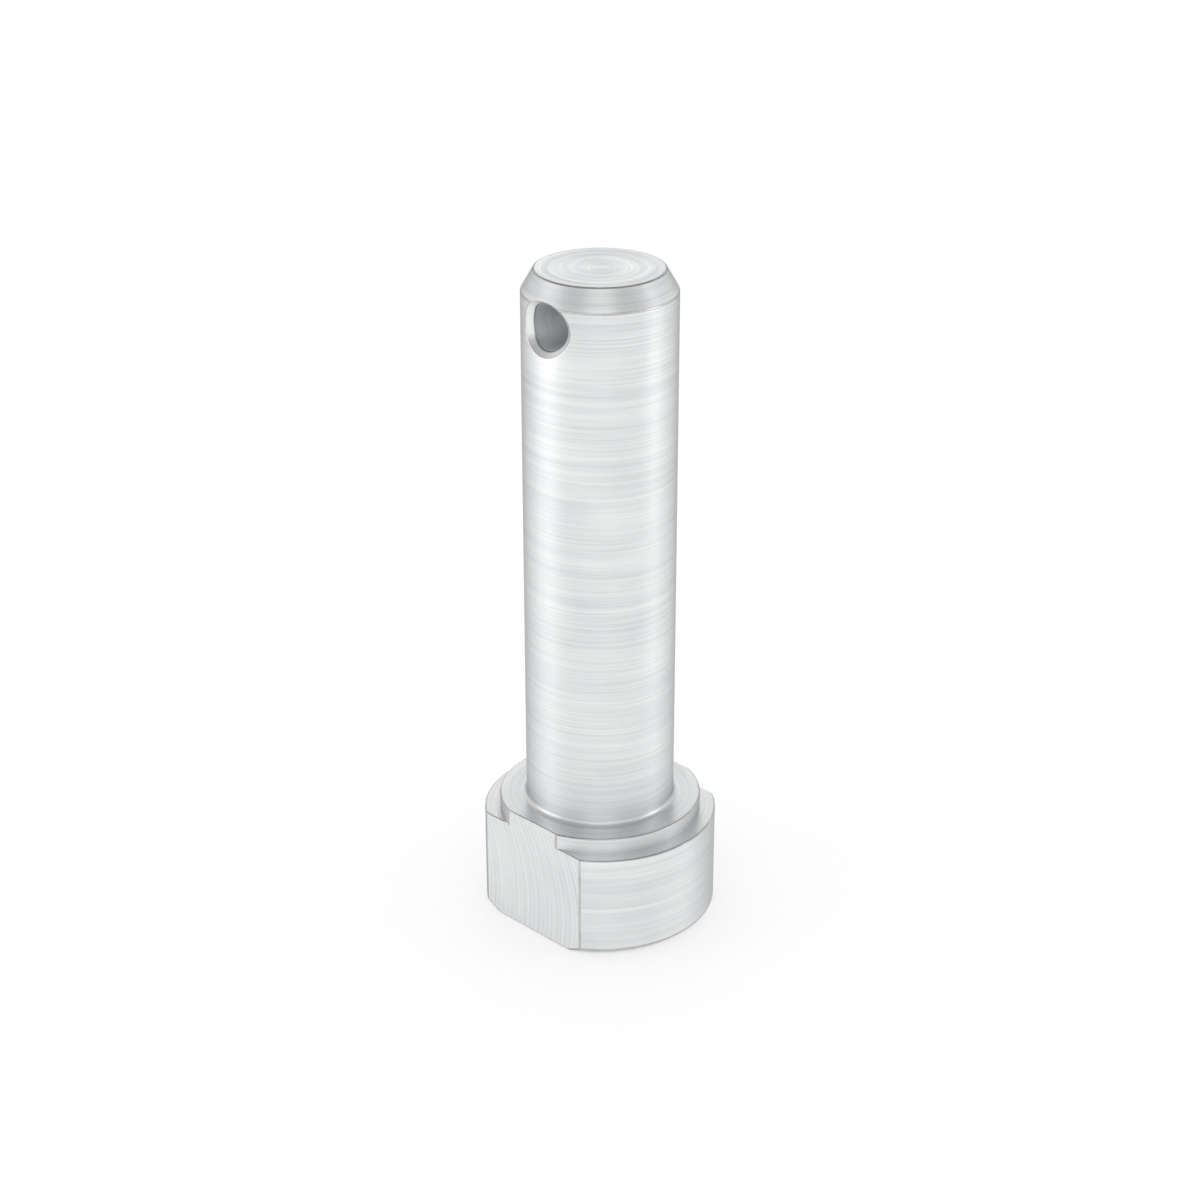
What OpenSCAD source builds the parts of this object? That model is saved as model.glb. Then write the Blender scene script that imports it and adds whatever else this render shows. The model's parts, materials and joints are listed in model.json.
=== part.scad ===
// Clevis pin with a round head, two wrench flats and a drilled cross hole for a split pin.
// It is one turned piece. It stands on its head: +Z runs along the shank to the tip, the origin
// is the middle of the head's bottom face, and the two flats face -Y and +Y.

/* [Shank] */
// Diameter of the shank
shank_d = 14; // [10:0.5:17]
// Length of the shank, from the collar's seat to the end of the tip
shank_len = 51.8; // [20:0.1:120]
// Length of the tip's chamfer, along the shank
tip_chamfer_len = 2; // [0.5:0.1:4]
// Angle of the tip's chamfer, from the shank's axis
tip_chamfer_angle = 30; // [15:1:45]
// Radius of the fillet where the shank meets the collar
root_fillet_r = 0.45; // [0.1:0.05:1]

/* [Head] */
// Diameter of the head
head_d = 22; // [19.5:0.5:40]
// Height of the head, without its collar
head_h = 10.4; // [4:0.1:25]
// Width across the two wrench flats
across_flats = 18; // [14.5:0.5:21.5]
// Height of the chamfer round the head's bottom edge
foot_chamfer_h = 0.8; // [0.2:0.1:2]
// Width of that chamfer, measured inwards
foot_chamfer_w = 0.9; // [0.2:0.1:2]

/* [Collar] */
// Diameter of the collar that the clevis bears on
collar_d = 19.1; // [17:0.1:21.5]
// Height of the collar above the head
collar_h = 1.5; // [0.5:0.1:5]

/* [Cross hole] */
// Diameter of the cross hole
hole_d = 4.2; // [2:0.1:6]
// Distance from the hole's axis to the end of the tip
hole_to_tip = 4; // [3:0.1:15]
// Depth of the chamfer at each mouth of the hole
hole_chamfer = 0.5; // [0.1:0.05:1]

/* [Hidden] */
$fn = 96;

shank_r = shank_d / 2;
head_r = head_d / 2;
collar_r = collar_d / 2;
hole_r = hole_d / 2;

// Heights above the bottom face
seat_z = head_h + collar_h;
tip_z = seat_z + shank_len;
hole_z = tip_z - hole_to_tip;

// Radius of the flat end of the tip
tip_r = shank_r - tip_chamfer_len * tan(tip_chamfer_angle);

// How far a cutting tool reaches past the metal
overrun = 1;

// Points round each mouth of the hole, and how far its chamfer is drawn out past both edges
mouth_steps = 96;
mouth_reach = 0.3;

// Half of the lengthwise section, as it is turned. The fillet is left square.
module turned_outline() {
    polygon([
        [0, 0],
        [head_r - foot_chamfer_w, 0],
        [head_r, foot_chamfer_h],
        [head_r, head_h],
        [collar_r, head_h],
        [collar_r, seat_z],
        [shank_r + root_fillet_r, seat_z],
        [shank_r, seat_z + root_fillet_r],
        [shank_r, tip_z - tip_chamfer_len],
        [tip_r, tip_z],
        [0, tip_z]
    ]);
}

// The whole turned shape, with the root fillet scooped out of its outline
module turned_blank() {
    rotate_extrude()
        difference() {
            turned_outline();
            translate([shank_r + root_fillet_r, seat_z + root_fillet_r])
                circle(r = root_fillet_r);
        }
}

// What is left between the two milled flats, which cut the head and the collar alike
module between_flats() {
    translate([-head_r - overrun, -across_flats / 2, -overrun])
        cube([head_d + 2 * overrun, across_flats, tip_z + 2 * overrun]);
}

// The drill, straight through the shank along Y
module cross_drill() {
    translate([0, 0, hole_z])
        rotate([90, 0, 0])
            cylinder(d = hole_d, h = shank_d + 2 * overrun, center = true);
}

// The mouth's chamfer is equally deep everywhere. For each angle round the hole there is a point
// that lies the chamfer's depth inside the hole's wall and inside the shank's skin. Dropped
// square onto each of the two surfaces, it gives the chamfer's inner and outer edge.
function chamfer_half_width(angle) = (hole_r + hole_chamfer) * cos(angle);

function chamfer_height(angle, radius) = hole_z + radius * sin(angle);

function chamfer_depth(angle) =
    sqrt(pow(shank_r - hole_chamfer, 2) - pow(chamfer_half_width(angle), 2));

function inner_edge(angle) = [
    hole_r * cos(angle),
    chamfer_depth(angle),
    chamfer_height(angle, hole_r)
];

function outer_edge(angle) = [
    chamfer_half_width(angle) * shank_r / (shank_r - hole_chamfer),
    chamfer_depth(angle) * shank_r / (shank_r - hole_chamfer),
    chamfer_height(angle, hole_r + hole_chamfer)
];

// A point on the straight line from the inner edge (share 0) to the outer edge (share 1)
function across_chamfer(angle, share) =
    inner_edge(angle) + share * (outer_edge(angle) - inner_edge(angle));

// The cutter for one mouth: two rings of points, one inside the hole and one outside the
// shank, each closed by a fan to a point on the hole's axis
module mouth_cutter() {
    angles = [for (i = [0:mouth_steps - 1]) i * 360 / mouth_steps];
    inner_ring = [for (a = angles) across_chamfer(a, -mouth_reach)];
    outer_ring = [for (a = angles) across_chamfer(a, 1 + mouth_reach)];
    inner_tip = [0, chamfer_depth(0), hole_z];
    outer_tip = [0, shank_r + overrun, hole_z];
    inner_tip_i = 2 * mouth_steps;
    outer_tip_i = inner_tip_i + 1;
    faces = [
        for (i = [0:mouth_steps - 1])
            let (j = (i + 1) % mouth_steps, k = i + mouth_steps, m = j + mouth_steps)
                each [[i, j, k], [j, m, k], [inner_tip_i, j, i], [outer_tip_i, k, m]]
    ];
    polyhedron(concat(inner_ring, outer_ring, [inner_tip, outer_tip]), faces);
}

module pin() {
    color("gainsboro")
        difference() {
            intersection() {
                turned_blank();
                between_flats();
            }
            cross_drill();
            mouth_cutter();
            mirror([0, 1, 0])
                mouth_cutter();
        }
}

pin();
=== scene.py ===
# %% [markdown]
# # A clevis pin in bright steel
#
# A clevis pin joins a rod to a fork. This one is a single piece of steel bar: a lathe turns the
# shank, the collar and the head, a milling cutter takes two flats off the head for a spanner,
# and a drill makes the hole for the split pin near the tip.
#
# The script follows the same order as the workshop. First it loads the measured solid, which
# fixes every size. Then it makes a finer skin for it, with the small broken edges and the tool
# marks that a measured solid leaves out, and at last it sets up the studio.

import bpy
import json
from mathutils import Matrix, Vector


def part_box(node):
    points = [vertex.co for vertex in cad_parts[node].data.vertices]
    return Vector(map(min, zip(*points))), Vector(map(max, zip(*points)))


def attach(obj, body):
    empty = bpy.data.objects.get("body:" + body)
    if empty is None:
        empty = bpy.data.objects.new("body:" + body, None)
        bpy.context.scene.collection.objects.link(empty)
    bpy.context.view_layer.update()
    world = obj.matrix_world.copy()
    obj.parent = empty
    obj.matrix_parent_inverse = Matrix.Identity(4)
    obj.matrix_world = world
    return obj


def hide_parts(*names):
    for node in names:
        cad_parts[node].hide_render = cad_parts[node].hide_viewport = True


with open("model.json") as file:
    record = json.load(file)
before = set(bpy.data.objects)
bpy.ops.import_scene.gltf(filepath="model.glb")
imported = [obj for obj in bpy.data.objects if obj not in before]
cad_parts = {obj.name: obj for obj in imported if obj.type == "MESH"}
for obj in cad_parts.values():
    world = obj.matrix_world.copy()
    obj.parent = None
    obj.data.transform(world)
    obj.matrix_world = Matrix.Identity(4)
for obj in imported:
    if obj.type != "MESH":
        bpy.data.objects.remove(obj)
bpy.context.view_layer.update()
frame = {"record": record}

# %% [markdown]
# ## The sizes
#
# A model that is dressed from a solid should ask the solid for its sizes. The places where the
# pin fastens to something are listed with it, so the shank, the hole, the seat and the flats
# come from that list. Only the chamfers, the fillet, the collar's height and the two outer radii
# are repeated here. Blender works in metres, so one named value turns millimetres into metres.

# %% Sizes in metres
import json
import math

import bmesh
import bpy
from mathutils import Matrix, Vector

MM = 0.001
fasten = {mount["name"]: mount for mount in frame["record"]["mounts"]}

SHANK_R = fasten["shank"]["dims"]["r_mm"] * MM
HOLE_R = fasten["split_pin_hole"]["dims"]["r_mm"] * MM
HOLE_Z = fasten["split_pin_hole"]["pos_m"][2]
SEAT_Z = fasten["collar_seat"]["pos_m"][2]
FLAT_Y = fasten["back_wrench_flat"]["pos_m"][1]
TIP_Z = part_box("pin")[1].z

HEAD_R = 11 * MM
COLLAR_R = 9.55 * MM
COLLAR_H = 1.5 * MM
HEAD_TOP_Z = SEAT_Z - COLLAR_H
FOOT_CHAMFER_H = 0.8 * MM
FOOT_CHAMFER_W = 0.9 * MM
ROOT_FILLET_R = 0.45 * MM
TIP_CHAMFER_LEN = 2 * MM
TIP_CHAMFER_ANGLE = math.radians(30)
MOUTH_CHAMFER = 0.5 * MM
TIP_CHAMFER_Z = TIP_Z - TIP_CHAMFER_LEN
TIP_R = SHANK_R - TIP_CHAMFER_LEN * math.tan(TIP_CHAMFER_ANGLE)
UP = Vector((0, 0, 1))
print(f"the shank is {2 * SHANK_R / MM:.1f} mm thick and {(TIP_Z - SEAT_Z) / MM:.1f} mm long")

# %% [markdown]
# ## One slot for each kind of cut
#
# Each cutting tool leaves its own mark, so each kind of cut gets its own material slot. The
# faces are sorted into the slots while the shape is being made, because that is when it is
# known which tool made them. Here are only the slots' numbers.

# %% The slots
TURNED, FACED, MILLED, DRILLED, MOUTH, BROKEN_EDGE = range(6)


def paint(faces, slot):
    for face in faces:
        face.material_index = slot
        face.smooth = True


print("the kinds of cut need", BROKEN_EDGE + 1, "slots")

# %% [markdown]
# ## Turning the blank
#
# On a lathe the tool draws half of the lengthwise section and the work turns. `spin` does the
# same: it sweeps a wire of edges round an axis. So the whole blank is one short outline, with
# the root fillet made by bevelling a single corner of the wire, its seventh point. The extra
# point on the shank under the hole gives the later drilling a short stretch of skin to cut, so
# the long strips below it stay whole. Faces that look straight up or down were cut by moving the
# tool inwards, so they are sorted into a slot of their own.

# %% Draw the outline and spin it
TURNING_STEPS = 120
FILLET_STEPS = 8
ROOT_CORNER = 6
BELOW_HOLE_Z = HOLE_Z - 5 * MM
MERGE = 0.001 * MM
LEVEL = 0.999


def draw_wire(bm, points):
    """Joins (radius, height) points into a wire in the XZ plane."""
    verts = [bm.verts.new((radius, 0, height)) for radius, height in points]
    for start, end in zip(verts, verts[1:]):
        bm.edges.new((start, end))
    return verts


def turned_blank():
    bm = bmesh.new()
    outline = draw_wire(bm, [
        (0, 0),
        (HEAD_R - FOOT_CHAMFER_W, 0),
        (HEAD_R, FOOT_CHAMFER_H),
        (HEAD_R, HEAD_TOP_Z),
        (COLLAR_R, HEAD_TOP_Z),
        (COLLAR_R, SEAT_Z),
        (SHANK_R, SEAT_Z),
        (SHANK_R, BELOW_HOLE_Z),
        (SHANK_R, TIP_CHAMFER_Z),
        (TIP_R, TIP_Z),
        (0, TIP_Z),
    ])
    bmesh.ops.bevel(bm, geom=[outline[ROOT_CORNER]], offset=ROOT_FILLET_R, offset_type="OFFSET",
                    segments=FILLET_STEPS, profile=0.5, affect="VERTICES", material=-1)
    bmesh.ops.spin(bm, geom=bm.verts[:] + bm.edges[:], cent=(0, 0, 0), axis=UP,
                   angle=2 * math.pi, steps=TURNING_STEPS, use_merge=True)
    bmesh.ops.remove_doubles(bm, verts=bm.verts[:], dist=MERGE)
    bmesh.ops.recalc_face_normals(bm, faces=bm.faces[:])
    paint(bm.faces, TURNED)
    paint([face for face in bm.faces if abs(face.normal.z) > LEVEL], FACED)
    return bm


pin_bm = turned_blank()
print("the blank has", len(pin_bm.faces), "faces")

# %% [markdown]
# ## Milling the flats
#
# A milling cutter takes off everything beyond a plane. `bisect_plane` does that to a mesh, and
# leaves an open edge that one new face closes. The plane lies inside the collar's radius too,
# so the same cut takes a slice off the head and a thin one off the collar.

# %% Cut the two flats
SNAP = 0.005 * MM


def mill_flat(bm, side):
    """Cuts off the metal beyond the flat on one side, +1 or -1, and closes the cut."""
    bmesh.ops.bisect_plane(bm, geom=bm.verts[:] + bm.edges[:] + bm.faces[:], dist=SNAP,
                           plane_co=(0, side * FLAT_Y, 0), plane_no=(0, side, 0),
                           clear_outer=True)
    rim = [edge for edge in bm.edges if edge.is_boundary]
    closed = bmesh.ops.holes_fill(bm, edges=rim, sides=0)
    paint(closed["faces"], MILLED)


for side in (1, -1):
    mill_flat(pin_bm, side)
bmesh.ops.recalc_face_normals(pin_bm, faces=pin_bm.faces[:])
print("open edges after milling:", sum(edge.is_boundary for edge in pin_bm.edges))

# %% [markdown]
# ## Breaking the edges
#
# A machined part never keeps a razor edge: it is tumbled or brushed until each corner has a
# tiny round, and that round is what catches the light. Bevel is asked for every outer edge that
# turns by more than a few degrees. The facets of the turning and of the fillet turn by less, so
# they are left alone, and so is the inner corner under the collar, which no brush reaches.

# %% Round every sharp outer edge a little
EDGE_BREAK = 0.13 * MM
EDGE_STEPS = 3
SHARP = math.radians(14)

sharp_edges = [edge for edge in pin_bm.edges if edge.is_convex and edge.calc_face_angle() > SHARP]
broken = bmesh.ops.bevel(pin_bm, geom=sharp_edges, offset=EDGE_BREAK, offset_type="OFFSET",
                         segments=EDGE_STEPS, profile=0.5, affect="EDGES", clamp_overlap=False,
                         material=-1)
paint(broken["faces"], BROKEN_EDGE)
print("broke", len(sharp_edges), "sharp edges")

# %% [markdown]
# ## The chamfer at the hole's mouths
#
# Each mouth of the hole has a chamfer that is equally deep all the way round. Because the mouth
# lies on a round shank, it isn't a plain cone. For each angle round the hole there is a point
# that lies the chamfer's depth inside both the hole's wall and the shank's skin, and its feet
# on those two surfaces are the chamfer's two edges. At the top the mouth runs out into the
# tip's own chamfer, where the skin is nearer, so the outer edge is looked for on the straight
# line between the two.

# %% Where the chamfer's two edges run
HALVINGS = 30


def chamfer_edges(angle):
    """The inner edge, on the hole's wall, and the outer edge, on the shank's full round."""
    across = (HOLE_R + MOUTH_CHAMFER) * math.cos(angle)
    up = math.sin(angle)
    depth = math.sqrt((SHANK_R - MOUTH_CHAMFER) ** 2 - across ** 2)
    to_skin = SHANK_R / (SHANK_R - MOUTH_CHAMFER)
    inner = Vector((HOLE_R * math.cos(angle), depth, HOLE_Z + HOLE_R * up))
    outer = Vector((across * to_skin, depth * to_skin, HOLE_Z + (HOLE_R + MOUTH_CHAMFER) * up))
    return inner, outer


def skin_radius(height):
    return SHANK_R - max(0, height - TIP_CHAMFER_Z) * math.tan(TIP_CHAMFER_ANGLE)


def reach_skin(inner, outer):
    """The point where the straight line from the inner to the outer edge leaves the metal."""
    inside, outside = 0, 1
    for _ in range(HALVINGS):
        middle = (inside + outside) / 2
        point = inner.lerp(outer, middle)
        if math.hypot(point.x, point.y) < skin_radius(point.z):
            inside = middle
        else:
            outside = middle
    return inner.lerp(outer, outside)


for place, angle in (("side", 0), ("top", math.pi / 2)):
    inner_edge, outer_edge = chamfer_edges(angle)
    width = (reach_skin(inner_edge, outer_edge) - inner_edge).length
    print(f"the chamfer at the hole's {place} is {width / MM:.2f} mm wide")

# %% [markdown]
# ## One cutter for the hole and its mouths
#
# The cutter is a tube round the Y axis that already has the chamfer and its broken edges on it.
# It starts as a circle in the middle of the hole. The circle is extruded outwards ring by ring,
# and each new ring is laid on the next point of the profile. Every point of the circle keeps its
# own angle in a layer of the mesh, which the extrusion copies along, so each ring knows where to
# go. Past the outer round the profile leaves the skin at a low slant, so that the boolean meets a
# clean crossing. The second half of the cutter is the mirror image of the first.

# %% The cutter's profile at one angle round the hole
MOUTH_BREAK = 0.1 * MM
ROUND_SHARES = [step / EDGE_STEPS for step in range(EDGE_STEPS + 1)]
SLANT = 2
RUN_OUT = 0.25 * MM
OVERRUN = 1 * MM
CUTTER_END_R = HOLE_R + OVERRUN
CUTTER_END_Y = SHANK_R + OVERRUN


def skin_normal(point):
    out = Vector((point.x, point.y, 0)).normalized()
    if point.z <= TIP_CHAMFER_Z:
        return out
    return out * math.cos(TIP_CHAMFER_ANGLE) + UP * math.sin(TIP_CHAMFER_ANGLE)


def round_corner(before, corner, after, shares):
    """Points on the curve that leaves `before` towards `corner` and bends round to `after`."""
    return [before.lerp(corner, share).lerp(corner.lerp(after, share), share) for share in shares]


def mouth_profile(angle):
    """Points from the hole's wall over the chamfer and out past the skin."""
    inner, outer = chamfer_edges(angle)
    outer = reach_skin(inner, outer)
    slope = (outer - inner).normalized()
    normal = skin_normal(outer)
    along_skin = (slope - normal * slope.dot(normal)).normalized()
    wall_end = inner - Vector((0, MOUTH_BREAK, 0))
    inner_round = round_corner(wall_end, inner, inner + slope * MOUTH_BREAK, ROUND_SHARES)
    outer_round = round_corner(outer - slope * MOUTH_BREAK, outer,
                               outer + along_skin * MOUTH_BREAK, ROUND_SHARES[:-1])
    leaving = (slope + SLANT * along_skin).normalized()
    run_out = outer_round[-1] + leaving * RUN_OUT
    end = Vector((CUTTER_END_R * math.cos(angle), CUTTER_END_Y,
                  HOLE_Z + CUTTER_END_R * math.sin(angle)))
    return inner_round + outer_round + [run_out, end]


print("the profile at the hole's side has", len(mouth_profile(0)), "points")

# %% Extrude it ring by ring
MOUTH_STEPS = 96
RING_SLOTS = ([DRILLED] + [BROKEN_EDGE] * EDGE_STEPS + [MOUTH]
              + [BROKEN_EDGE] * (EDGE_STEPS + 1))


def cross_cutter():
    bm = bmesh.new()
    own_angle = bm.verts.layers.float.new("angle round the hole")
    ring = bmesh.ops.create_circle(bm, segments=MOUTH_STEPS, radius=HOLE_R)["verts"]
    for vert in ring:
        vert[own_angle] = math.atan2(vert.co.y, vert.co.x)
        vert.co = (vert.co.x, 0, HOLE_Z + vert.co.y)
    rim = bm.edges[:]
    for place, slot in enumerate(RING_SLOTS):
        grown = bmesh.ops.extrude_edge_only(bm, edges=rim)["geom"]
        for vert in grown:
            if isinstance(vert, bmesh.types.BMVert):
                vert.co = mouth_profile(vert[own_angle])[place]
        paint([face for face in grown if isinstance(face, bmesh.types.BMFace)], slot)
        rim = [edge for edge in grown if isinstance(edge, bmesh.types.BMEdge) and edge.is_boundary]
    bmesh.ops.holes_fill(bm, edges=rim, sides=0)
    bmesh.ops.mirror(bm, geom=bm.verts[:] + bm.edges[:] + bm.faces[:], matrix=Matrix(),
                     merge_dist=MERGE, axis="Y")
    bmesh.ops.recalc_face_normals(bm, faces=bm.faces[:])
    bm.verts.layers.float.remove(own_angle)
    return bm


cutter_bm = cross_cutter()
print("the cutter has", len(cutter_bm.faces), "faces and",
      sum(not edge.is_manifold for edge in cutter_bm.edges), "open edges")

# %% [markdown]
# ## Drilling
#
# A boolean takes the cutter out of the blank. It is added as a modifier, and the mesh that it
# gives is kept in place of the old one, so the finished piece has no live modifier. The faces
# that the cutter leaves behind bring their own slots with them.

# %% Take the cutter out of the blank
def as_object(bm, name):
    mesh = bpy.data.meshes.new(name)
    bm.to_mesh(mesh)
    bm.free()
    made = bpy.data.objects.new(name, mesh)
    bpy.context.scene.collection.objects.link(made)
    return made


def cut_away(body, cutter):
    """Leaves in `body` only what the cutter doesn't fill, then throws the cutter away."""
    cut = body.modifiers.new("cut", "BOOLEAN")
    cut.operation = "DIFFERENCE"
    cut.solver = "EXACT"
    cut.object = cutter
    graph = bpy.context.evaluated_depsgraph_get()
    bm = bmesh.new()
    bm.from_object(body, graph)
    bmesh.ops.remove_doubles(bm, verts=bm.verts[:], dist=MERGE)
    body.modifiers.clear()
    bm.to_mesh(body.data)
    bm.free()
    bpy.data.meshes.remove(cutter.data)


pin = as_object(pin_bm, "machined_pin")
cut_away(pin, as_object(cutter_bm, "cutter"))
print("the drilled pin has", len(pin.data.polygons), "faces")

# %% [markdown]
# ## True normals
#
# A mesh of flat facets looks round because its normals are averaged at each point. Next to a
# hole the facets are cut into odd shapes, and the average goes a little wrong there. A machined
# surface doesn't need an average: at any point of a turned face the normal points straight out
# from the axis, leaning by the face's own tilt, and on the hole's wall it points at the hole's
# axis. In the root fillet it points at the middle of the fillet's round. Only inside the broken
# edges is Blender's average kept, and where one meets a larger face it takes over that face's
# normal, so that the two run into each other.

# %% Give each face corner its true normal
def turned_normal(face_tilt, point):
    out = Vector((point.x, point.y, 0))
    radius = out.length
    out.normalize()
    if SEAT_Z + MERGE < point.z < SEAT_Z + ROOT_FILLET_R - MERGE:
        rise = SEAT_Z + ROOT_FILLET_R - point.z
        to_centre = out * (SHANK_R + ROOT_FILLET_R - radius) + UP * rise
        return to_centre.normalized()
    return out * math.sqrt(1 - face_tilt ** 2) + UP * face_tilt


def true_normal(face, point):
    if face.material_index == TURNED:
        return turned_normal(face.normal.z, point)
    if face.material_index == DRILLED:
        return Vector((-point.x, 0, HOLE_Z - point.z)).normalized()
    return face.normal


def set_true_normals(mesh):
    settled = {}
    for face in mesh.polygons:
        if face.material_index != BROKEN_EDGE:
            for vert in face.vertices:
                normal = true_normal(face, mesh.vertices[vert].co)
                settled[vert] = settled.get(vert, Vector()) + normal
    corner_normals = []
    for face in mesh.polygons:
        for vert in face.vertices:
            if face.material_index in (TURNED, FACED, MILLED, DRILLED):
                normal = true_normal(face, mesh.vertices[vert].co)
            else:
                normal = settled.get(vert, mesh.vertices[vert].normal).normalized()
            corner_normals.append(normal)
    mesh.normals_split_custom_set(corner_normals)
    return len(settled)


print("true normals at", set_true_normals(pin.data), "points")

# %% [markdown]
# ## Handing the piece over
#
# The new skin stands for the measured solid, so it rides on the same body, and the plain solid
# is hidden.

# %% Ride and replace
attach(pin, "root")
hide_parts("pin")
print("the pin's box is", [round(size / MM, 2) for size in pin.dimensions], "mm")

# %% [markdown]
# ## Wiring nodes
#
# All the finishes are wired from a handful of nodes. `feed` puts a plain number on a socket, or
# joins another node to it, so that one line can read like a sum. The Mix node has a set of
# sockets for each kind of value, all with the same names, so its colour ones are found by their
# places in the list.

# %% Helpers for nodes
MIX_FIRST, MIX_SECOND, MIX_RESULT = 6, 7, 2


def feed(tree, socket, value):
    if isinstance(value, bpy.types.NodeSocket):
        tree.links.new(value, socket)
    else:
        socket.default_value = value


def maths(tree, operation, *values):
    """One Math node. Each value is a number or the output of another node."""
    node = tree.nodes.new("ShaderNodeMath")
    node.operation = operation
    for socket, value in zip(node.inputs, values):
        feed(tree, socket, value)
    return node.outputs[0]


def remap(tree, value, before, after):
    """Stretches a value so that the range `before` becomes the range `after`, and stops there."""
    node = tree.nodes.new("ShaderNodeMapRange")
    for socket, number in zip(node.inputs, (value, *before, *after)):
        feed(tree, socket, number)
    return node.outputs[0]


def weigh(tree, *shares):
    """The sum of some values, each given with its share as (value, share)."""
    total = 0
    for value, share in shares:
        total = maths(tree, "MULTIPLY_ADD", value, share, total)
    return total


def mix_colours(tree, share, first, second):
    node = tree.nodes.new("ShaderNodeMix")
    node.data_type = "RGBA"
    feed(tree, node.inputs[0], share)
    feed(tree, node.inputs[MIX_FIRST], first)
    feed(tree, node.inputs[MIX_SECOND], second)
    return node.outputs[MIX_RESULT]


# %% [markdown]
# ## Where a tool's marks run
#
# Every cutting tool leaves fine grooves along its own path, so the steel changes quickly across
# the grooves and slowly along them. A finish therefore needs one number that grows across the
# grooves. On a turned face that is the height, on a faced end the distance from the pin's axis,
# and in the hole the place along the hole. A face mill leaves arcs as wide as the cutter, so the
# flats measure how far a point lies ahead of such an arc.
#
# Grooves also smear a reflection, and they smear it across themselves. That is why each measure
# comes with its direction, which the shader takes as its tangent.

# %% The measure across the grooves, and its direction, for each cut
MILL_R = 16 * MM
MILL_Z = 3 * MM


def distance(tree, first, second):
    square = maths(tree, "MULTIPLY", second, second)
    return maths(tree, "SQRT", maths(tree, "MULTIPLY_ADD", first, first, square))


def across_turning(tree, x, y, z):
    return z, (0, 0, 1)


def across_facing(tree, x, y, z):
    return distance(tree, x, y), (x, y, 0)


def across_milling(tree, x, y, z):
    height = maths(tree, "SUBTRACT", z, MILL_Z)
    square = maths(tree, "MULTIPLY", height, height)
    reach = maths(tree, "SQRT", maths(tree, "SUBTRACT", MILL_R ** 2, square))
    return maths(tree, "SUBTRACT", x, reach), (reach, 0, height)


def across_drilling(tree, x, y, z):
    return y, (0, 1, 0)


def across_mouth(tree, x, y, z):
    height = maths(tree, "SUBTRACT", z, HOLE_Z)
    return distance(tree, x, height), (x, 0, height)


print(f"the face mill is {2 * MILL_R / MM:.0f} mm wide and the head {2 * HEAD_R / MM:.0f} mm")

# %% [markdown]
# ## The steel
#
# Bright steel is pale and satin. Three layers make it: fine grooves about a tenth of a
# millimetre apart, broader bands where the tool bit a little deeper, and cloudy patches left by
# handling and oil. Where they add up the steel is paler and smoother, and the first two also go
# into the bump. Each noise takes the pin's own coordinates for its slow change along the
# grooves, and the measure across them as its fourth number for the quick one, so the marks never
# repeat and never show a seam. A face mill turns evenly while the work moves past it, so most of
# its bands are an even ripple instead.
#
# Bare metal also changes its brightness where it turns away from the eye. The shader's specular
# tint sets that, and a grey tint keeps the pin's outline clear in front of a white background.

# %% The noises that the steel is made of
NOISE_MIDDLE = (0.3, 0.7)
SOFT_DETAIL = 2
CRISP_DETAIL = 3


def place_on_pin(tree):
    """The pin's own coordinates, in metres from the middle of the head's bottom face."""
    coords = tree.nodes.new("ShaderNodeTexCoord").outputs["Object"]
    split = tree.nodes.new("ShaderNodeSeparateXYZ")
    tree.links.new(coords, split.inputs[0])
    return coords, list(split.outputs)


def noise(tree, coords, size, detail, fourth=0):
    """Noise from 0 to 1, with patches about `size` wide. Raw noise rarely leaves its middle."""
    node = tree.nodes.new("ShaderNodeTexNoise")
    node.noise_dimensions = "4D"
    feed(tree, node.inputs["Vector"], coords)
    feed(tree, node.inputs["W"], fourth)
    node.inputs["Scale"].default_value = 1 / size
    node.inputs["Detail"].default_value = detail
    return remap(tree, node.outputs[0], NOISE_MIDDLE, (0, 1))


def grooves(tree, coords, across, pitch, length):
    """Noise that changes every `pitch` across the grooves and every `length` along them."""
    stretched = maths(tree, "MULTIPLY", across, length / pitch)
    return noise(tree, coords, length, SOFT_DETAIL, stretched)


def ripples(tree, across, feed_per_turn):
    """An even wave from 0 to 1, with one crest for each turn of the tool."""
    angle = maths(tree, "MULTIPLY", across, 2 * math.pi / feed_per_turn)
    return remap(tree, maths(tree, "SINE", angle), (-1, 1), (0, 1))


print("raw noise from", NOISE_MIDDLE[0], "to", NOISE_MIDDLE[1], "is stretched to 0 and 1")

# %% One recipe for every machined face
PALE_STEEL = (0.9, 0.905, 0.91, 1)
GREY_STEEL = (0.68, 0.69, 0.7, 1)
RIM_TINT = (0.4, 0.4, 0.4, 1)
CLOUD_SIZE = 6 * MM
BAND_PITCH = 5
BAND_LENGTH = 3
FINE_SHARE = 0.45
BAND_SHARE = 0.3
CLOUD_SHARE = 0.25
RIPPLE_SHARE = 0.75
FINE_IN_BUMP = 0.5
ROUGHNESS_SPREAD = 0.1


def bare_steel(name):
    """A new material with nothing on it yet but metal, a little darker where it turns away."""
    material = bpy.data.materials.new(name)
    material.use_nodes = True
    shader = material.node_tree.nodes["Principled BSDF"]
    shader.inputs["Metallic"].default_value = 1
    shader.inputs["Specular Tint"].default_value = RIM_TINT
    return material, material.node_tree, shader


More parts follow.
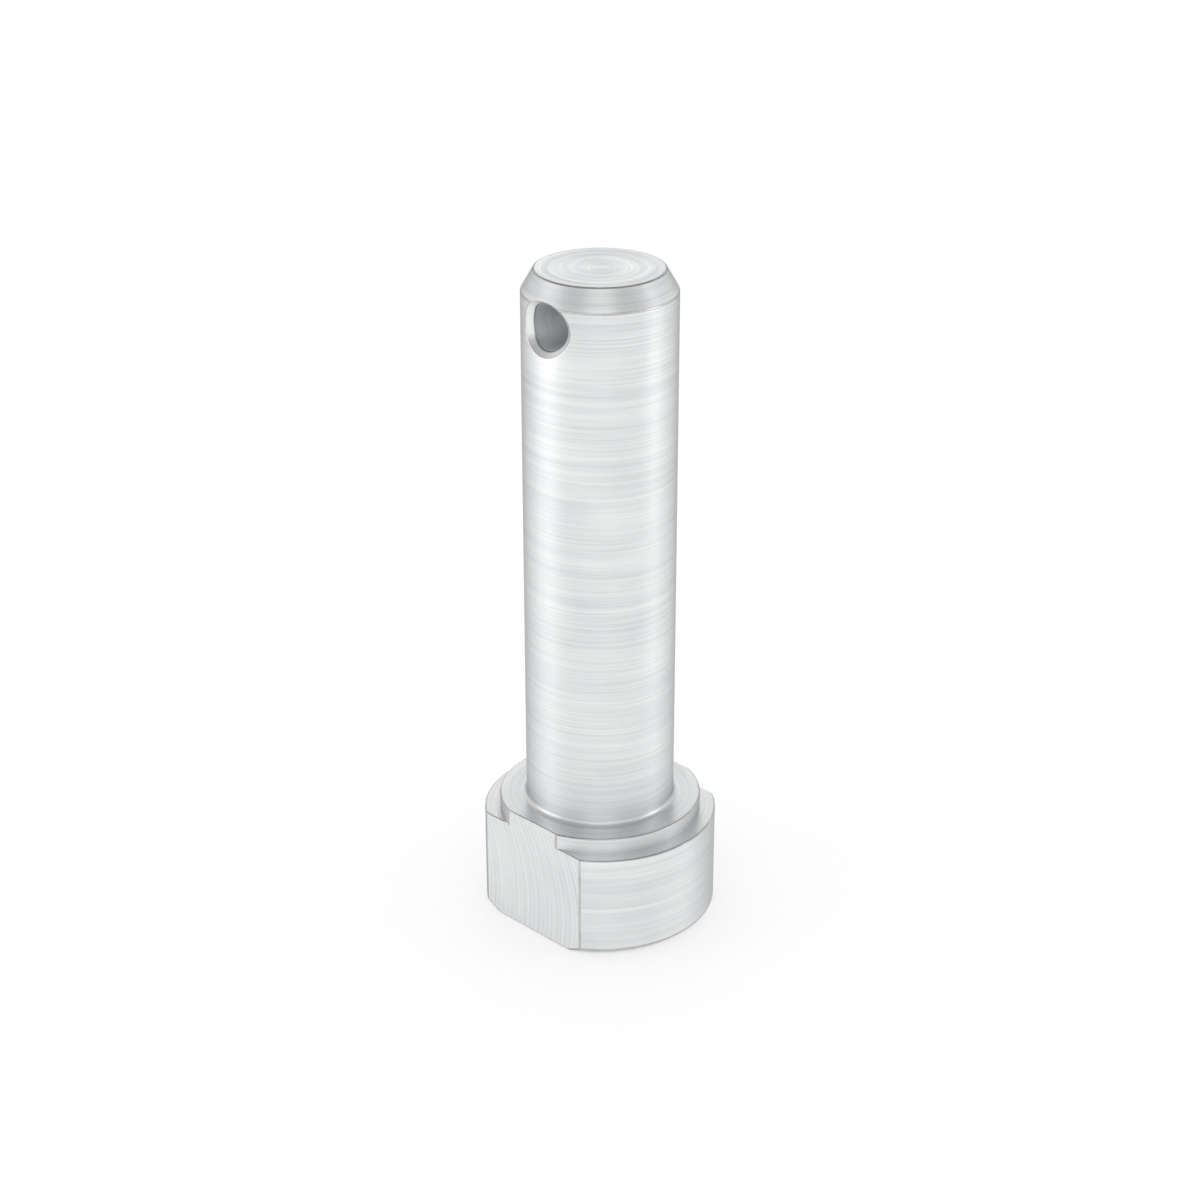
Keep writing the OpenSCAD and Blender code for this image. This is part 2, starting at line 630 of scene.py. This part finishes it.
def machined_steel(name, across_grooves, pitch, depth, length, roughness, smear, feed_per_turn=0):
    """Steel with the grooves of one tool: their pitch, depth and length in metres."""
    material, tree, shader = bare_steel(name)
    coords, (x, y, z) = place_on_pin(tree)
    across, direction = across_grooves(tree, x, y, z)
    fine = grooves(tree, coords, across, pitch, length)
    bands = grooves(tree, coords, across, BAND_PITCH * pitch, BAND_LENGTH * length)
    if feed_per_turn:
        even = ripples(tree, across, feed_per_turn)
        bands = weigh(tree, (bands, 1 - RIPPLE_SHARE), (even, RIPPLE_SHARE))
    cloud = noise(tree, coords, CLOUD_SIZE, CRISP_DETAIL)

    shade = weigh(tree, (fine, FINE_SHARE), (bands, BAND_SHARE), (cloud, CLOUD_SHARE))
    feed(tree, shader.inputs["Base Color"], mix_colours(tree, shade, GREY_STEEL, PALE_STEEL))
    rough, smooth = roughness + ROUGHNESS_SPREAD, roughness - ROUGHNESS_SPREAD
    feed(tree, shader.inputs["Roughness"], remap(tree, shade, (0, 1), (rough, smooth)))

    bump = tree.nodes.new("ShaderNodeBump")
    bump.inputs["Distance"].default_value = depth
    height = weigh(tree, (fine, FINE_IN_BUMP), (bands, 1 - FINE_IN_BUMP))
    feed(tree, bump.inputs["Height"], height)
    feed(tree, shader.inputs["Normal"], bump.outputs[0])

    shader.inputs["Anisotropic"].default_value = smear
    tangent = tree.nodes.new("ShaderNodeCombineXYZ")
    for socket, value in zip(tangent.inputs, direction):
        feed(tree, socket, value)
    feed(tree, shader.inputs["Tangent"], tangent.outputs[0])
    return material


print("the steel's shade runs from", GREY_STEEL[:3], "to", PALE_STEEL[:3])

# %% [markdown]
# ## Worn edges with painted shade
#
# The broken edges were rounded in a tumbler and rub against everything since, so they have no
# grooves. They are a little smoother than the faces. Their whole colour is a painted shade, darker
# than the faces' steel, and that is what makes each edge stand out as a thin grey line. Within it
# they vary at random, darker where the bright surface is rubbed through, in stretches of a few
# millimetres with small nicks in them.

# %% The steel of the broken edges
# Painted shade: both edge colours are darker than the faces' steel, so every edge shows as a grey
# line.
RUBBED_EDGE_SHADE = (0.4, 0.4, 0.41, 1)
FRESH_EDGE_SHADE = (0.66, 0.665, 0.67, 1)
EDGE_ROUGHNESS = (0.26, 0.36)
RUB_SIZE = 3 * MM
RUB_SHARE = 0.7
NICK_SIZE = 0.25 * MM
NICK_SHARE = 0.3
NICK_DEPTH = 0.001 * MM


def worn_and_shaded_edge_steel():
    material, tree, shader = bare_steel("broken_edge_steel")
    coords, _ = place_on_pin(tree)
    rub = noise(tree, coords, RUB_SIZE, SOFT_DETAIL)
    nicks = noise(tree, coords, NICK_SIZE, CRISP_DETAIL)
    wear = weigh(tree, (rub, RUB_SHARE), (nicks, NICK_SHARE))
    # The edge's colour is a painted shade between two dark greys, varied at random by the rubbing
    # and the nicks.
    feed(tree, shader.inputs["Base Color"], mix_colours(tree, wear, RUBBED_EDGE_SHADE, FRESH_EDGE_SHADE))
    feed(tree, shader.inputs["Roughness"], remap(tree, wear, (0, 1), EDGE_ROUGHNESS))
    bump = tree.nodes.new("ShaderNodeBump")
    bump.inputs["Distance"].default_value = NICK_DEPTH
    feed(tree, bump.inputs["Height"], nicks)
    feed(tree, shader.inputs["Normal"], bump.outputs[0])
    return material


print("a worn edge's shade runs from", RUBBED_EDGE_SHADE[:3], "to", FRESH_EDGE_SHADE[:3])

# %% Put each finish in its slot
finishes = {
    TURNED: machined_steel("turned_steel", across_turning, pitch=0.12 * MM, depth=0.005 * MM,
                           length=14 * MM, roughness=0.44, smear=0.7),
    FACED: machined_steel("faced_steel", across_facing, pitch=0.14 * MM, depth=0.005 * MM,
                          length=8 * MM, roughness=0.31, smear=0.3),
    MILLED: machined_steel("milled_steel", across_milling, pitch=0.15 * MM, depth=0.006 * MM,
                           length=12 * MM, roughness=0.4, smear=0.5, feed_per_turn=0.6 * MM),
    DRILLED: machined_steel("drilled_steel", across_drilling, pitch=0.15 * MM, depth=0.003 * MM,
                            length=2 * MM, roughness=0.6, smear=0.6),
    MOUTH: machined_steel("countersunk_steel", across_mouth, pitch=0.1 * MM, depth=0.002 * MM,
                          length=2 * MM, roughness=0.38, smear=0.5),
    BROKEN_EDGE: worn_and_shaded_edge_steel(),
}
for slot in sorted(finishes):
    pin.data.materials.append(finishes[slot])
for slot, material in enumerate(pin.data.materials):
    count = sum(face.material_index == slot for face in pin.data.polygons)
    print(material.name, "covers", count, "faces")

# %% [markdown]
# ## Floor and background
#
# The pin stands on a plain white floor that runs out of the picture. Steel shows nothing but
# its surroundings, so the background matters as much as the lamps. It is white round the horizon
# and turns grey higher up, as in a studio with white walls and a dim ceiling. For a camera that
# looks down, the upright faces mirror the white floor and the level ones the tops of the walls,
# so both look pale, the level ones a little greyer.

# %% The floor
FLOOR_R = 6
FLOOR_STEPS = 64
FLOOR_GAP = 0.01 * MM
FLOOR_COLOUR = (0.95, 0.95, 0.95, 1)
GLOW_SHARE = 0.5

floor_bm = bmesh.new()
bmesh.ops.create_circle(floor_bm, cap_ends=True, segments=FLOOR_STEPS, radius=FLOOR_R,
                        matrix=Matrix.Translation((0, 0, -FLOOR_GAP)))
floor = as_object(floor_bm, "floor")


def seen_rays(tree):
    """1 for rays from the camera and for those that metal or glass sends on, otherwise 0."""
    path = tree.nodes.new("ShaderNodeLightPath").outputs
    seen = maths(tree, "MAXIMUM", path["Is Camera Ray"], path["Is Glossy Ray"])
    return maths(tree, "MAXIMUM", seen, path["Is Transmission Ray"])


def floor_paint():
    """Matt paint, half of it glowing white for the rays that are seen, so shadows stay soft."""
    material = bpy.data.materials.new("white_floor")
    material.use_nodes = True
    tree = material.node_tree
    tree.nodes.remove(tree.nodes["Principled BSDF"])
    matt = tree.nodes.new("ShaderNodeBsdfDiffuse")
    matt.inputs["Color"].default_value = FLOOR_COLOUR
    glow = tree.nodes.new("ShaderNodeEmission")
    mixed = tree.nodes.new("ShaderNodeMixShader")
    feed(tree, mixed.inputs[0], maths(tree, "MULTIPLY", seen_rays(tree), GLOW_SHARE))
    tree.links.new(matt.outputs[0], mixed.inputs[1])
    tree.links.new(glow.outputs[0], mixed.inputs[2])
    tree.links.new(mixed.outputs[0], tree.nodes["Material Output"].inputs["Surface"])
    return material


floor.data.materials.append(floor_paint())
print("the floor is", 2 * FLOOR_R, "m wide")

# %% The background
WHITE = (1, 1, 1, 1)
CEILING_SHADE = 0.35
WALL_TOP = math.radians(20)
CEILING_START = math.radians(49)
FILL_LEVEL = 1

world = bpy.data.worlds.new("studio")
world.use_nodes = True
bpy.context.scene.world = world


def light_background(tree):
    """White walls and a grey ceiling where they are seen, an even soft fill elsewhere."""
    direction = tree.nodes.new("ShaderNodeTexCoord").outputs["Generated"]
    split = tree.nodes.new("ShaderNodeSeparateXYZ")
    tree.links.new(direction, split.inputs[0])
    walls = tree.nodes["Background"]
    walls.inputs["Color"].default_value = WHITE
    heights = math.sin(WALL_TOP), math.sin(CEILING_START)
    wall_shade = remap(tree, split.outputs["Z"], heights, (1, CEILING_SHADE))
    feed(tree, walls.inputs["Strength"], wall_shade)
    fill = tree.nodes.new("ShaderNodeBackground")
    fill.inputs["Color"].default_value = WHITE
    fill.inputs["Strength"].default_value = FILL_LEVEL
    mixed = tree.nodes.new("ShaderNodeMixShader")
    feed(tree, mixed.inputs[0], seen_rays(tree))
    tree.links.new(fill.outputs[0], mixed.inputs[1])
    tree.links.new(walls.outputs[0], mixed.inputs[2])
    tree.links.new(mixed.outputs[0], tree.nodes["World Output"].inputs["Surface"])


light_background(world.node_tree)
print(f"the background is white up to {math.degrees(WALL_TOP):.0f} degrees of height, and",
      CEILING_SHADE, f"as bright from {math.degrees(CEILING_START):.0f} degrees")

# %% [markdown]
# ## Lamps
#
# Four broad lamps stand round the pin, like soft boxes. Two of them are low, at the left and the
# right of the camera. The grooves on the shank smear each of them into a soft upright band, and
# the two bands make the shank look round. The other two are higher, one over the camera for the
# tip's chamfer and one far behind the pin for the level faces. All four are large for the
# distance they stand at, so the shadow on the floor has no hard edge.

# %% Soft boxes round the pin
MIDDLE = Vector((0, 0, TIP_Z / 2))


def direction_of(azimuth, elevation):
    """The way from the pin to a camera or a lamp; azimuth 0 looks along +Y, 90 along -X."""
    turn, lift = math.radians(azimuth), math.radians(elevation)
    level = Vector((math.sin(turn), -math.cos(turn), 0))
    return level * math.cos(lift) + UP * math.sin(lift)


def aim(thing, target, azimuth, elevation, away):
    thing.location = target + direction_of(azimuth, elevation) * away
    thing.rotation_euler = (target - thing.location).to_track_quat("-Z", "Y").to_euler()
    bpy.context.scene.collection.objects.link(thing)


def soft_box(name, azimuth, elevation, away, width, height, radiance):
    """A lamp with a broad face. Radiance 1 looks as bright as white paper."""
    data = bpy.data.lights.new(name, "AREA")
    data.shape = "RECTANGLE"
    data.size = width
    data.size_y = height
    data.energy = radiance * math.pi * width * height
    lamp = bpy.data.objects.new(name, data)
    lamp.visible_camera = False
    aim(lamp, MIDDLE, azimuth, elevation, away)
    print(name, "stands at", [round(place, 2) for place in lamp.location])


soft_box("key_lamp", azimuth=-35, elevation=8, away=0.5, width=0.3, height=0.14, radiance=2.2)
soft_box("side_lamp", azimuth=128, elevation=8, away=0.5, width=0.18, height=0.14, radiance=2)
soft_box("front_lamp", azimuth=45, elevation=40, away=0.6, width=0.4, height=0.25, radiance=0.9)
soft_box("back_lamp", azimuth=225, elevation=19, away=2, width=1.7, height=0.5, radiance=1)

# %% [markdown]
# ## The camera
#
# The photograph was matched by fitting one camera to all of the drawn edges. It looks at the pin
# from halfway between a flat and the round of the head, 45 degrees from each, and about 25
# degrees down.

# %% Place the camera
CAMERA_AZIMUTH = 45
CAMERA_ELEVATION = 24.924
CAMERA_AWAY = 0.23064
CAMERA_LENS = 75
NEAREST_SEEN = 0.01
TARGET = Vector((0, 0, 0.031798))

camera_data = bpy.data.cameras.new("camera")
camera_data.lens = CAMERA_LENS
camera_data.clip_start = NEAREST_SEEN
camera = bpy.data.objects.new("camera", camera_data)
aim(camera, TARGET, CAMERA_AZIMUTH, CAMERA_ELEVATION, CAMERA_AWAY)
bpy.context.scene.camera = camera
bpy.context.scene.view_settings.view_transform = "Standard"
print("the camera stands", CAMERA_AWAY, "m from its target")
